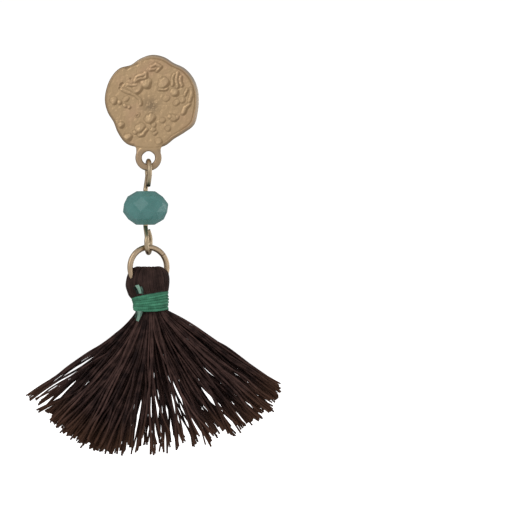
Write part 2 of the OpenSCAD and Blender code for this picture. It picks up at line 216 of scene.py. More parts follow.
def relief(x, z):
    """Height of the casting's face over its plain plane, as a share of the relief."""
    height = swell * np.sin(4.5 * x + 1.6 * z) * np.cos(3.7 * z - x)
    x, z = x + waver * np.sin(23 * z + 7 * x), z + waver * np.sin(21 * x + 9 * z)
    for at_x, at_z, r, h, hollow in droplets:
        away = np.hypot(x - at_x, z - at_z) / (droplet_spread * r)
        lean = 1 + droplet_lean * ((x - at_x) - (z - at_z)) / r
        dome = np.maximum(0, 1 - away ** 2) ** 1.6
        dome = dome - hollow * np.maximum(0, 1 - (away / 0.6) ** 2) ** 1.5
        height = np.maximum(height, h * lean * dome * (away < 1))
    for x0, z0, x1, z1, r, h in runs:
        along_x, along_z = x1 - x0, z1 - z0
        t = np.clip(((x - x0) * along_x + (z - z0) * along_z) / (along_x ** 2 + along_z ** 2), 0, 1)
        away = np.hypot(x - x0 - t * along_x, z - z0 - t * along_z) / (run_spread * r)
        ridge = run_rise * h * np.maximum(0, 1 - away ** 2) ** 2
        height = np.maximum(height, ridge) if h > 0 else height + ridge
    for at_x, at_z, r, depth in pits:
        height = height - depth * np.maximum(0, 1 - (np.hypot(x - at_x, z - at_z) / r) ** 2)
    return height - dent_depth * dent_share(x, z)


def skin(rows, closed=False):
    """Points and faces of a skin through rows of points: capped with a fan at each end, or closed."""
    n = len(rows[0])
    points = [point for row in rows for point in row]
    faces = []
    for k in range(len(rows) if closed else len(rows) - 1):
        this, after = k * n, (k + 1) % len(rows) * n
        faces += [(this + i, this + (i + 1) % n, after + (i + 1) % n, after + i) for i in range(n)]
    if not closed:
        for row, first in ((rows[0], 0), (rows[-1], len(points) - n)):
            faces += [(first + i, first + (i + 1) % n, len(points)) for i in range(n)]
            points = points + [np.mean(row, axis=0)]
    return points, faces


def mesh_from(name, parts):
    """A mesh of several closed skins, each with its faces turned outwards."""
    points, faces = [], []
    for part_points, part_faces in parts:
        faces += [tuple(i + len(points) for i in face) for face in part_faces]
        points += [tuple(point) for point in part_points]
    mesh = bpy.data.meshes.new(name)
    mesh.from_pydata(points, [], faces)
    whole = bmesh.new()
    whole.from_mesh(mesh)
    bmesh.ops.recalc_face_normals(whole, faces=whole.faces)
    whole.to_mesh(mesh)
    whole.free()
    return mesh


def placed(name, data):
    """A new object in the scene."""
    made = bpy.data.objects.new(name, data)
    bpy.context.scene.collection.objects.link(made)
    return made


def worked_in(made):
    """A mesh of what an object's modifiers make, which it then gives up."""
    depsgraph = bpy.context.evaluated_depsgraph_get()
    finished = bpy.data.meshes.new_from_object(made.evaluated_get(depsgraph), depsgraph=depsgraph)
    made.modifiers.clear()
    return finished


def applied(name, mesh, modifiers=()):
    """The mesh as a scene object, with its modifiers worked into it."""
    made = placed(name, mesh)
    for kind, settings in modifiers:
        modifier = made.modifiers.new(kind.lower(), kind)
        for key, value in settings.items():
            setattr(modifier, key, value)
    if modifiers:
        made.data = worked_in(made)
    return made


def vertices_of(mesh, what="co"):
    """The place of each vertex, or its normal."""
    values = np.zeros(len(mesh.vertices) * 3)
    mesh.vertices.foreach_get(what, values)
    return values.reshape(-1, 3)


def store(mesh, name, values):
    """One number for each vertex, under a name that materials and modifiers read."""
    mesh.attributes.new(name, "FLOAT", "POINT").data.foreach_set("value", np.asarray(values, np.float32))


def disc_row(angles, inset, y):
    """One row round the disc, set in from its edge."""
    across, up = disc_w / 2 * np.cos(angles), disc_h / 2 * np.sin(angles)
    share = edge_share(angles) * (1 - inset / np.hypot(across, up))
    ys = np.broadcast_to(y, angles.shape)
    return np.stack([disc_x + across * share, ys, disc_z + up * share], axis=1)


angles = np.linspace(0, 2 * math.pi, 240, endpoint=False)
plate = skin([
    disc_row(angles, edge_break, 0.0),
    disc_row(angles, 0, -edge_break),
    disc_row(angles, 0, bevel(angles) - disc_t),
    disc_row(angles, bevel(angles), -disc_t),
])
loop_profile = [
    (radius + inward * edge_break * (1 - deep), side * (loop_t / 2 - edge_break * deep))
    for radius, inward, side, deep in (
        (hole_d / 2, 1, -1, 1), (hole_d / 2, 1, -1, 0), (loop_d / 2, -1, -1, 0), (loop_d / 2, -1, -1, 1),
        (loop_d / 2, -1, 1, 1), (loop_d / 2, -1, 1, 0), (hole_d / 2, 1, 1, 0), (hole_d / 2, 1, 1, 1),
    )
]
loop = skin([
    [(hole.x + r * math.cos(a), hole.y + y, hole.z + r * math.sin(a)) for r, y in loop_profile]
    for a in angles[::2]
], closed=True)
web_r = (loop_d + hole_d) / 4
web_arc = [(web_r * math.cos(a), web_r * math.sin(a)) for a in np.linspace(math.pi, 0, 25)]
web_side = [
    (web_w / 2 + flare, share * loop_drop)
    for flare, share in ((0, 0), (0, 0.8), (0.2, 1.1), (0, 2))
]
web_edge = [(-x, z) for x, z in web_side[::-1]] + web_arc + web_side
web = skin([
    [(hole.x + x, hole.y + side * (loop_t - edge_break) / 2, hole.z + z) for x, z in web_edge]
    for side in (-1, 1)
])
disc = applied("cast_disc", mesh_from("cast_disc", [plate, loop, web]), [
    ("REMESH", {"mode": "VOXEL", "voxel_size": cast_grid, "adaptivity": 0.0}),
    ("SMOOTH", {"factor": 0.5, "iterations": 5}),
])
places = vertices_of(disc.data)
facing = smooth_step(-vertices_of(disc.data, "normal")[:, 1], 0.5, 0.95)
share_x = (places[:, 0] - disc_x) / (disc_w / 2)
share_z = (places[:, 2] - disc_z) / (disc_h / 2)
around = np.arctan2(share_z, share_x)
edge_near = 1 - np.hypot(share_x, share_z) / edge_share(around)
on_plate = smooth_step(edge_near, 0.02, 0.09) * facing
height = relief(share_x, share_z)
groove = np.exp(-((edge_near - groove_in) / groove_w) ** 2) * side_share(around, 15, 0.4)
dented = dent_share(share_x, share_z)
lumps = np.array([noise.fractal(Vector(place / 0.9), 0.7, 2.0, 3) for place in places * (1, 0, 1)])
face = height + lumps * (0.3 + 0.6 * dented) - groove_depth * groove

# How hollow the face is at each place, and how far it leans to the light at the upper left
step = 0.012
to_right, to_left, above, below = (
    relief(share_x + dx, share_z + dz) for dx, dz in ((step, 0), (-step, 0), (0, step), (0, -step)))
hollow = (to_right + to_left + above + below - 4 * height) / step ** 2 / full_hollow
lit = ((below - above) + (to_right - to_left)) / (4 * step) / full_slope
places[:, 1] -= face * relief_h * on_plate
disc.data.vertices.foreach_set("co", (places * MM).ravel())
# Painted shade: darkest on the sides that face away from the light at the upper left, and also in hollows
# and in the groove inside the rim
relief_shade = 0.5 * np.clip(hollow, 0, 1) + 1.3 * np.clip(-lit, 0, 1) + 1.1 * groove
store(disc.data, "relief_shade", np.clip(relief_shade, 0, 1) * on_plate)
# Painted highlight: the raised marks are painted a lighter gold
store(disc.data, "raised", np.clip(height, 0, 1) * on_plate)
over_web = smooth_step(np.abs(places[:, 0] - hole.x), web_w / 2, web_w / 2 + 0.5)
rim = (1 - smooth_step(edge_near, 0.03, 0.07)) * smooth_step(edge_near, -0.06, -0.02)
rim *= np.where(share_z < -0.8, over_web, 1)
# Painted highlight on the rim towards the upper right, and painted shade on the rest of the rim and along
# the loop's edges
lit_rim_side = side_share(around, 30, 0.8)
store(disc.data, "rim highlight", rim * lit_rim_side)
from_hole = np.hypot(places[:, 0] - hole.x, places[:, 2] - hole.z)
# The loop is painted darker all over, as painted shade
loop_shade = smooth_step(-edge_near, 0.0, 0.1)
loop_edge_shade = smooth_step(np.abs(from_hole - web_r), 0.25, 0.55) * loop_shade
store(disc.data, "rim shade", rim * (1 - lit_rim_side) + 0.8 * loop_edge_shade)
store(disc.data, "dent", dented * on_plate)
store(disc.data, "loop_shade", loop_shade)
disc.data.update()
disc.data.shade_smooth()


def add(tree, kind, settings=None, inputs=None):
    """A node with its settings and inputs, each input linked to a socket or set to a value."""
    made = tree.nodes.new(kind)
    for key, value in (settings or {}).items():
        setattr(made, key, value)
    for key, value in (inputs or {}).items():
        if isinstance(value, bpy.types.NodeSocket):
            tree.links.new(value, made.inputs[key])
        else:
            made.inputs[key].default_value = value
    return made


def math_of(tree, operation, *values):
    """The result of a sum on sockets and numbers."""
    return add(tree, "ShaderNodeMath", {"operation": operation}, dict(enumerate(values))).outputs[0]


def blended(tree, share, first, second, kind="MIX"):
    """The colour between two colours."""
    settings = {"data_type": "RGBA", "blend_type": kind}
    return add(tree, "ShaderNodeMix", settings, {0: share, 6: first, 7: second}).outputs[2]


def ranged(tree, value, low, high, start=0.0, end=1.0):
    """A value's place between low and high, given from start to end."""
    inputs = {"Value": value, "From Min": low, "From Max": high, "To Min": start, "To Max": end}
    return add(tree, "ShaderNodeMapRange", None, inputs).outputs[0]


def noise_of(tree, place, size, detail=3.0, roughness=0.55):
    """Noise whose patches have a real size, in millimetres."""
    inputs = {"Vector": place, "Scale": 1 / (size * MM), "Detail": detail, "Roughness": roughness}
    return add(tree, "ShaderNodeTexNoise", None, inputs).outputs[0]


def attribute_of(tree, name, output="Fac"):
    """What the mesh stores under a name."""
    return add(tree, "ShaderNodeAttribute", {"attribute_name": name}).outputs[output]


def new_group(name, inputs, outputs):
    """A shader node group with named sockets, and the tree, its input node and its output node."""
    tree = bpy.data.node_groups.new(name, "ShaderNodeTree")
    for label, kind, value in inputs:
        tree.interface.new_socket(label, in_out="INPUT", socket_type=kind).default_value = value
    for label, kind in outputs:
        tree.interface.new_socket(label, in_out="OUTPUT", socket_type=kind)
    return tree, tree.nodes.new("NodeGroupInput"), tree.nodes.new("NodeGroupOutput")


def worn_plating():
    """Plating over a casting or a wire: uneven colour, rubbed and dull patches, and a fine grain."""
    tree, given, out = new_group("worn_plating", [
        ("Plating", "NodeSocketColor", (0.5, 0.3, 0.2, 1)),
        ("Dull", "NodeSocketColor", (0.2, 0.1, 0.05, 1)),
        ("Patch size", "NodeSocketFloat", 2.0),
        ("Grain size", "NodeSocketFloat", 0.1),
        ("Grain height", "NodeSocketFloat", 0.1),
        ("Smoothest", "NodeSocketFloat", 0.25),
        ("Roughest", "NodeSocketFloat", 0.45),
    ], [("Color", "NodeSocketColor"), ("Roughness", "NodeSocketFloat"), ("Normal", "NodeSocketVector")])
    place = add(tree, "ShaderNodeTexCoord").outputs["Object"]

    def uneven(size, detail):
        scale = math_of(tree, "DIVIDE", 1 / MM, size)
        inputs = {"Vector": place, "Scale": scale, "Detail": detail, "Roughness": 0.6}
        return add(tree, "ShaderNodeTexNoise", None, inputs).outputs[0]

    patches = uneven(given.outputs["Patch size"], 4.0)
    grain = uneven(given.outputs["Grain size"], 2.0)
    dull_patches = ranged(tree, patches, 0.5, 0.72, 0.0, 0.6)
    dull = math_of(tree, "ADD", dull_patches, ranged(tree, grain, 0.5, 0.8, 0.0, 0.3))
    color = blended(tree, dull, given.outputs["Plating"], given.outputs["Dull"])
    span = math_of(tree, "SUBTRACT", given.outputs["Roughest"], given.outputs["Smoothest"])
    wear_and_tip_glow = ranged(tree, patches, 0.3, 0.7)
    rough = math_of(tree, "MULTIPLY_ADD", span, wear_and_tip_glow, given.outputs["Smoothest"])
    bump = add(tree, "ShaderNodeBump", None, {
        "Strength": given.outputs["Grain height"], "Distance": 0.05 * MM, "Height": grain,
    })
    for label, value in (("Color", color), ("Roughness", rough), ("Normal", bump.outputs[0])):
        tree.links.new(value, out.inputs[label])
    return tree


plating = worn_plating()


def material_of(name):
    """An empty node material: its tree and its Principled shader."""
    made = bpy.data.materials.new(name)
    made.use_nodes = True
    return made, made.node_tree, made.node_tree.nodes["Principled BSDF"]


def plated(name, color, dull, patch, grain, height, smoothest, roughest):
    """A plated metal, with its group's colour left for more layers."""
    made, tree, shader = material_of(name)
    group = add(tree, "ShaderNodeGroup", {"node_tree": plating}, {
        "Plating": (*color, 1), "Dull": (*dull, 1), "Patch size": patch, "Grain size": grain,
        "Grain height": height, "Smoothest": smoothest, "Roughest": roughest,
    })
    shader.inputs["Metallic"].default_value = 1.0
    for label, socket in (("Color", "Base Color"), ("Roughness", "Roughness"), ("Normal", "Normal")):
        tree.links.new(group.outputs[label], shader.inputs[socket])
    return made, tree, shader, group


satin_gold, tree, shader, group = plated(
    "satin_gold", (0.625, 0.435, 0.25), (0.52, 0.36, 0.205), 3.0, 0.16, 0.25, 0.34, 0.48)
place = add(tree, "ShaderNodeTexCoord").outputs["Object"]
reddish = math_of(tree, "MULTIPLY", ranged(tree, noise_of(tree, place, 5.0), 0.5, 0.66), 0.5)
color = blended(tree, reddish, group.outputs["Color"], (0.68, 0.43, 0.275, 1))
for name, strength, layer in tone_and_painted_light:
    share = math_of(tree, "MULTIPLY", attribute_of(tree, name), strength)
    color = blended(tree, share, color, (*layer, 1))
tree.links.new(color, shader.inputs["Base Color"])
disc.data.materials.append(satin_gold)
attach(disc, "stud")
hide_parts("disc")

# Ear post
# A straight drawn steel pin, pressed into a socket in the disc's back, with a narrowed tip that
# goes through the ear. It is left bare, with fine marks from the die along it.
post = frame["nodes"]["ear_post"]
post_steel = plated(
    "drawn_steel", (0.30, 0.29, 0.28), (0.17, 0.16, 0.15), 1.5, 0.05, 0.3, 0.22, 0.4)[0]
post.data.materials.clear()
post.data.materials.append(post_steel)

# Threads and wires
# What is drawn, bent or wound follows a route: the pin's wire, the tassel's threads and the
# binding. One tree of nodes sweeps a round strand along each route, with small loose waves.


def strand_tree():
    """Sweeps a round strand along every chain of edges that it is given."""
    tree = bpy.data.node_groups.new("swept_strand", "GeometryNodeTree")
    for label, kind, value in (
        ("Routes", "NodeSocketGeometry", None),
        ("Radius", "NodeSocketFloat", 0.15 * MM),
        ("Sides", "NodeSocketInt", 6),
        ("Steps", "NodeSocketInt", 3),
        ("Wave height", "NodeSocketFloat", 0.0),
        ("Wave length", "NodeSocketFloat", 5 * MM),
        ("Seed", "NodeSocketInt", 0),
        ("Material", "NodeSocketMaterial", None),
    ):
        socket = tree.interface.new_socket(label, in_out="INPUT", socket_type=kind)
        if value is not None:
            socket.default_value = value
    tree.interface.new_socket("Strands", in_out="OUTPUT", socket_type="NodeSocketGeometry")
    given = tree.nodes.new("NodeGroupInput").outputs
    out = tree.nodes.new("NodeGroupOutput")

    def named(name):
        node = add(tree, "GeometryNodeInputNamedAttribute", {"data_type": "FLOAT"}, {"Name": name})
        return node.outputs["Attribute"]

    routes = add(tree, "GeometryNodeMeshToCurve", None, {"Mesh": given["Routes"]}).outputs[0]
    seed = math_of(tree, "MULTIPLY_ADD", given["Seed"], 7.3, named("lot"))
    drift = add(tree, "ShaderNodeTexNoise", {"noise_dimensions": "4D"}, {
        "Vector": tree.nodes.new("GeometryNodeInputPosition").outputs[0], "W": seed,
        "Scale": math_of(tree, "DIVIDE", 1.0, given["Wave length"]), "Detail": 1.0,
    })
    swing = add(tree, "ShaderNodeVectorMath", {"operation": "SUBTRACT"},
                {0: drift.outputs["Color"], 1: (0.5, 0.5, 0.5)})
    reach = math_of(tree, "MULTIPLY", given["Wave height"], named("loose"))
    offset = add(tree, "ShaderNodeVectorMath", {"operation": "SCALE"},
                 {0: swing.outputs[0], "Scale": reach})
    waved = add(tree, "GeometryNodeSetPosition", None, {"Geometry": routes, "Offset": offset.outputs[0]})
    rounded = add(tree, "GeometryNodeCurveSplineType", {"spline_type": "CATMULL_ROM"},
                  {"Curve": waved.outputs[0]})
    fine = add(tree, "GeometryNodeSetSplineResolution", None,
               {"Geometry": rounded.outputs[0], "Resolution": given["Steps"]})
    radius = math_of(tree, "MULTIPLY", given["Radius"], named("thick"))
    parameter = tree.nodes.new("GeometryNodeSplineParameter").outputs
    run = add(tree, "GeometryNodeCaptureAttribute", {"domain": "POINT"}, {"Geometry": fine.outputs[0]})
    run.capture_items.new("FLOAT", "Length")
    tree.links.new(parameter["Length"], run.inputs["Length"])
    turn = math_of(tree, "MULTIPLY", parameter["Factor"], 2 * math.pi)
    circle = add(tree, "GeometryNodeCurvePrimitiveCircle", None,
                 {"Resolution": given["Sides"], "Radius": 1.0})
    profile = add(tree, "GeometryNodeCaptureAttribute", {"domain": "POINT"},
                  {"Geometry": circle.outputs[0]})
    for label, operation in (("Cosine", "COSINE"), ("Sine", "SINE")):
        profile.capture_items.new("FLOAT", label)
        tree.links.new(math_of(tree, operation, turn), profile.inputs[label])
    swept = add(tree, "GeometryNodeCurveToMesh", None, {
        "Curve": run.outputs["Geometry"], "Profile Curve": profile.outputs["Geometry"],
        "Scale": radius, "Fill Caps": True,
    })
    wind = add(tree, "ShaderNodeCombineXYZ", None, {
        "X": profile.outputs["Cosine"], "Y": profile.outputs["Sine"], "Z": run.outputs["Length"],
    })
    marked = add(tree, "GeometryNodeStoreNamedAttribute", {
        "data_type": "FLOAT_VECTOR", "domain": "POINT",
    }, {
        "Geometry": swept.outputs[0], "Name": "wind", "Value": wind.outputs[0],
    })
    soft = add(tree, "GeometryNodeSetShadeSmooth", None, {"Geometry": marked.outputs[0]})
    real = add(tree, "GeometryNodeRealizeInstances", None, {"Geometry": soft.outputs[0]})
    done = add(tree, "GeometryNodeSetMaterial", None,
               {"Geometry": real.outputs[0], "Material": given["Material"]})
    tree.links.new(done.outputs[0], out.inputs[0])
    return tree


strands = strand_tree()


def route(points, thick=1.0, loose=0.0, lot=0.0, tint=0.5):
    """One strand's route in millimetres, with its thickness and looseness at each point."""
    points = np.asarray(points, float)
    full = np.ones(len(points))
    return {
        "points": points, "thick": thick * full, "loose": loose * full, "lot": lot * full,
        "tint": tint * full, "along": np.linspace(0, 1, len(points)),
    }


def swept(name, routes, radius, sides, steps, material, wave=0.0, wave_length=5.0, seed=0):
    """A plain mesh of strands along their routes."""
    mesh = bpy.data.meshes.new(name + "_routes")
    firsts = np.cumsum([0] + [len(r["points"]) for r in routes])
    edges = [
        (first + i, first + i + 1)
        for first, r in zip(firsts, routes)
        for i in range(len(r["points"]) - 1)
    ]
    mesh.from_pydata(np.concatenate([r["points"] for r in routes]) * MM, edges, [])
    for key in ("thick", "loose", "lot", "tint", "along"):
        store(mesh, key, np.concatenate([r[key] for r in routes]))
    source = placed(name + "_routes", mesh)
    modifier = source.modifiers.new("strands", "NODES")
    modifier.node_group = strands
    values = {
        "Radius": radius * MM, "Sides": sides, "Steps": steps, "Wave height": wave * MM,
        "Wave length": wave_length * MM, "Seed": seed, "Material": material,
    }
    for socket in strands.interface.items_tree:
        if socket.in_out == "INPUT" and socket.name in values:
            modifier[socket.identifier] = values[socket.name]
    finished = worked_in(source)
    bpy.data.objects.remove(source)
    finished.name = name
    return placed(name, finished)


# Eye pin
# One piece of plated brass wire. It carries the bead, and each end is bent by hand into an eye
# that isn't quite shut. The cut end of the upper eye is painted near black, as painted shade.
wire_d = 0.8
eye_w = 4.4
upper_eye_h = 5.7
lower_eye_h = 5.3
stem_side = 0.5
eye_turn = math.radians(9)
cut_share = 0.2
knee_share = 0.25
upper_cut_side = 0.6
lower_cut_side = 0.8
eye_steps = 12
cut_end = 0.45
bead_h = 6.0
bead_at = joints["bead_spin"]
plane_y = bead_at.y
stem_top = bead_at.z + bead_h / 2
stem_low = bead_at.z - bead_h / 2


def eye_points(height, up, cut_side):
    """The wire from the bead round one eye to its cut end; up is 1 above the bead and -1 below."""
    wire_r = wire_d / 2
    eye_r = eye_w / 2 - wire_r
    centre = height - wire_r - eye_r
    lean = math.asin(eye_r / centre)
    points = [(0, wire_r * knee_share, wire_r)]
    for k in range(eye_steps + 1):
        a = k * (math.pi + 2 * lean) / eye_steps - lean
        y = eye_r * math.cos(a)
        points.append((stem_side - y * math.tan(eye_turn), y, centre + eye_r * math.sin(a)))
    leg_y = eye_r * math.cos(lean)
    leg_z = centre - eye_r * math.sin(lean)
    points.append((wire_d * cut_side, -leg_y * cut_share - wire_r / 2, leg_z * cut_share + wire_r))
    base = stem_top if up > 0 else stem_low
    return [(bead_at.x + x, plane_y + up * y, base + up * z) for x, y, z in points]


pin_route = eye_points(upper_eye_h, 1, upper_cut_side)[::-1]
pin_route += [(bead_at.x, plane_y, z) for z in np.linspace(stem_top, stem_low, 5)]
pin_route += eye_points(lower_eye_h, -1, lower_cut_side)
gold_wire, tree, shader, group = plated(
    "gold_wire", (0.56, 0.44, 0.29), (0.38, 0.27, 0.16), 1.2, 0.06, 0.15, 0.26, 0.4)
# Painted shade: the wire turns near black at the upper eye's cut end
end_shade = ranged(tree, attribute_of(tree, "along"), 0.015, 0.003)
color = blended(tree, end_shade, group.outputs["Color"], (0.05, 0.04, 0.03, 1))
tree.links.new(color, shader.inputs["Base Color"])
pin_thick = np.ones(len(pin_route))
pin_thick[-1] = cut_end
pin = swept("eye_pin_wire", [route(pin_route, pin_thick)], wire_d / 2, 20, 4, gold_wire)
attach(pin, "link")
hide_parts("eye_pin")

# Bead
# A machine-cut rondelle of opaque teal glass, fire polished, so each edge between two facets is
# a narrow rounded band. It is threaded on the pin and turns freely.
facet_edge = 0.07
whole = bmesh.new()
whole.from_mesh(frame["nodes"]["bead"].data)
bmesh.ops.remove_doubles(whole, verts=whole.verts, dist=0.002 * MM)
bmesh.ops.dissolve_limit(
    whole, angle_limit=math.radians(1), use_dissolve_boundaries=False,
    verts=whole.verts, edges=whole.edges)
bead_mesh = bpy.data.meshes.new("cut_bead")
whole.to_mesh(bead_mesh)
whole.free()
bead_mesh.materials.clear()
bead = applied("cut_bead", bead_mesh, [
    ("BEVEL", {
        "width": facet_edge * MM, "segments": 2, "limit_method": "ANGLE", "angle_limit": math.radians(12),
    }),
])
teal_glass, tree, shader = material_of("teal_glass")
place = add(tree, "ShaderNodeTexCoord").outputs["Object"]
cloud = noise_of(tree, place, 2.5, 4.0)
pale = ranged(tree, cloud, 0.35, 0.65)
color = blended(tree, pale, (0.078, 0.24, 0.222, 1), (0.10, 0.285, 0.265, 1))
specks = ranged(tree, noise_of(tree, place, 0.25, 2.0), 0.62, 0.8, 0.0, 0.5)
color = blended(tree, specks, color, (0.14, 0.33, 0.31, 1))
tree.links.new(color, shader.inputs["Base Color"])
tree.links.new(ranged(tree, cloud, 0.3, 0.7, 0.22, 0.32), shader.inputs["Roughness"])
ripple = add(tree, "ShaderNodeBump", None, {
    "Strength": 0.15, "Distance": 0.05 * MM, "Height": noise_of(tree, place, 0.9, 2.0),
})
tree.links.new(ripple.outputs[0], shader.inputs["Normal"])
shader.inputs["IOR"].default_value = 1.55
shader.inputs["Subsurface Weight"].default_value = 0.15
shader.inputs["Subsurface Radius"].default_value = (0.3, 0.6, 0.5)
shader.inputs["Subsurface Scale"].default_value = 1.0 * MM
bead.data.materials.append(teal_glass)
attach(bead, "bead")
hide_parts("bead")

# Jump ring
# A ring of thicker plated wire, cut once and closed with pliers, that holds the tassel's head.
# Its finish is brighter than the pin's, with a little rubbing in patches.
ring_node = frame["nodes"]["jump_ring"]
ring_gold = plated(
    "ring_gold", (0.575, 0.43, 0.285), (0.36, 0.25, 0.15), 1.6, 0.07, 0.15, 0.24, 0.38)[0]
ring_node.data.materials.clear()
ring_node.data.materials.append(ring_gold)
ring_node.data.shade_smooth()

# Tassel head
# Long dark brown threads laid over the ring and folded down on both sides, tied at the neck.
# A core of packed threads shows only between the outer ones, and the threads part round the ring.
ring_d = 8.0
ring_wire = 1.0
ring_turn = math.radians(25)
head_w = 7.9
head_d = 6.2
head_fill = 3.1
neck_w = 5.1
neck_d = 4.8
neck_side = 0.45
bind_h = 3.6
bind_rise = 1.4
bind_gap = 0.06
thread_r = 0.15
ring_low, ring_high = (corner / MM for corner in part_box("jump_ring"))
ring_z = (ring_low.z + ring_high.z) / 2
ring_r = (ring_d - ring_wire) / 2
head_top = ring_low.z + ring_wire + head_fill
bind_top = ring_low.z - bind_gap
bind_low = bind_top - bind_h
head_low = bind_top - bind_rise / 2
core_share = 0.9
core_sides = 40
core_neck = 0.88
head_edge = 0.985
neck_share = 0.93

# Layers of the head from the outside in: size as a share of the outside, and how many threads
head_layers = [(1.0, 78), (0.965, 66), (0.93, 56)]

# From the top down: height, half width, half depth, shift and rise to the right as shares
head_sections = np.array([
    (0.00, 0.55, 0.22, 0.0, 0.0),
    (0.05, 0.72, 0.42, 0.0, 0.0),
    (0.16, 0.88, 0.70, -0.1, 0.0),
    (0.35, 0.97, 0.93, -0.3, 0.2),
    (0.60, 1.00, 1.00, -0.4, 0.5),
    (0.85, 0.94, 0.97, -0.1, 0.8),
    (1.00, 0.80, 0.88, 0.7, 1.0),
])


def head_at(k):
    """Half width, half depth, middle, rise and height of the head, k of the way down it."""
    w, d, x, rise = (np.interp(k, head_sections[:, 0], head_sections[:, i]) for i in (1, 2, 3, 4))
    height = head_top + (head_low - head_top) * k
    return head_w / 2 * w, head_d / 2 * d, neck_side * x, bind_rise / 2 * rise, height


def clear_of_ring(points, room):
    """Pushes points off the ring's wire: towards the head's middle where the wire lies at its face."""
    points = np.array(points, float)
    axis = np.array([math.cos(ring_turn), math.sin(ring_turn), 0])
    middle = np.array([0, plane_y, ring_z])
    flat = points - middle
    across, up = flat @ axis, flat[:, 2]
    size = np.maximum(np.hypot(across, up), 1e-6)
    nearest = middle + np.outer(across / size * ring_r, axis)
    nearest[:, 2] = ring_z + up / size * ring_r
    away = points - nearest
    gap = np.maximum(np.linalg.norm(away, axis=1), 1e-6)
    k = np.clip((head_top - nearest[:, 2]) / (head_top - head_low), 0, 1)
    w, d, x, _, _ = head_at(k)
    buried = 1 - np.hypot((nearest[:, 0] - x) / w, (nearest[:, 1] - plane_y) / d)
    inward = np.stack([x, np.full(len(x), plane_y), nearest[:, 2]], axis=1) - nearest
    inward[:, 0] *= 0.3
    inward /= np.maximum(np.linalg.norm(inward, axis=1), 1e-6)[:, None]
    outward = away / gap[:, None]
    share = smooth_step(buried, 0.2, 0.45)[:, None]
    way = outward * share + inward * (1 - share)
    way /= np.maximum(np.linalg.norm(way, axis=1), 1e-6)[:, None]
    reach = ring_wire / 2 + room
    return points + way * np.maximum(0, reach - gap)[:, None]


rng = np.random.default_rng(41)
head_routes = []
downs = np.array([0.0, 0.03, 0.09, 0.18, 0.3, 0.45, 0.6, 0.75, 0.88, 1.0])
for layer, count in head_layers:
    for i in range(count):
        spread = math.sin((2 * (i + rng.uniform(0.2, 0.8)) / count - 1) * math.pi / 2)
        lean = rng.normal(0.06, 0.06)
        bulge = layer - thread_r / (head_d / 2) + rng.normal(0, 0.012)
        face = []
        for side in (-1, 1):
            half = []
            for k in downs:
                w, d, x, rise, z = head_at(k)
                u = np.clip(spread * head_edge + side * lean * (0.5 - k), -head_edge, head_edge)
                out = w * u * bulge
                y = side * d * math.sqrt(1 - u * u) * bulge
                half.append((x + out, plane_y + y, z - (1 - bulge) * 3 + u * rise))
            neck_x = neck_side + neck_w / 2 * spread * neck_share
            neck_out = math.sqrt(1 - (spread * neck_share) ** 2)
            neck_y = plane_y + side * neck_d / 2 * neck_out * neck_share
            half.append((neck_x, neck_y, head_low - 0.35 + spread * bind_rise / 2))
            half.append((neck_x, neck_y, bind_low + 0.6))
            face.append(half)
        points = clear_of_ring(face[0][::-1] + face[1], thread_r + 0.03)
        head_routes.append(route(points, rng.uniform(0.9, 1.1), 0.4, rng.uniform(0, 50), rng.random()))


def twisted_thread():
    """A thread of two plies: the twist's grooves, uneven dye and a few paler hairs."""
    tree, given, out = new_group("twisted_thread", [
        ("Dark", "NodeSocketColor", (0.02, 0.01, 0.01, 1)),
        ("Light", "NodeSocketColor", (0.1, 0.06, 0.05, 1)),
        ("Tint", "NodeSocketFloat", 0.5),
        ("Pitch", "NodeSocketFloat", 0.5),
        ("Groove", "NodeSocketFloat", 0.5),
    ], [("Color", "NodeSocketColor"), ("Twist", "NodeSocketFloat"), ("Normal", "NodeSocketVector")])
    wind = add(tree, "ShaderNodeSeparateXYZ", None, {0: attribute_of(tree, "wind", "Vector")}).outputs
    place = add(tree, "ShaderNodeTexCoord").outputs["Object"]
    turns_a_length = math_of(tree, "DIVIDE", 2 * math.pi / MM, given.outputs["Pitch"])
    turn = math_of(tree, "MULTIPLY", wind["Z"], turns_a_length)
    first = math_of(tree, "MULTIPLY", math_of(tree, "SINE", turn), wind["X"])
    twist = math_of(tree, "MULTIPLY_ADD", math_of(tree, "COSINE", turn), wind["Y"], first)
    plies = math_of(tree, "ABSOLUTE", twist)
    dye = noise_of(tree, place, 1.5, 3.0)
    hairs = noise_of(tree, place, 0.08, 2.0)
    share = math_of(tree, "ADD", ranged(tree, dye, 0.35, 0.7, -0.15, 0.3), given.outputs["Tint"])
    share = math_of(tree, "MULTIPLY_ADD", plies, 0.15, share)
    share = math_of(tree, "ADD", share, ranged(tree, hairs, 0.6, 0.8, 0.0, 0.25))
    clamp = add(tree, "ShaderNodeClamp", None, {"Value": share}).outputs[0]
    color = blended(tree, clamp, given.outputs["Dark"], given.outputs["Light"])
    height = math_of(tree, "MULTIPLY_ADD", hairs, 0.3, plies)
    bump = add(tree, "ShaderNodeBump", None, {
        "Strength": given.outputs["Groove"], "Distance": 0.05 * MM, "Height": height,
    })
    for label, value in (("Color", color), ("Twist", plies), ("Normal", bump.outputs[0])):
        tree.links.new(value, out.inputs[label])
    return tree


twist_group = twisted_thread()


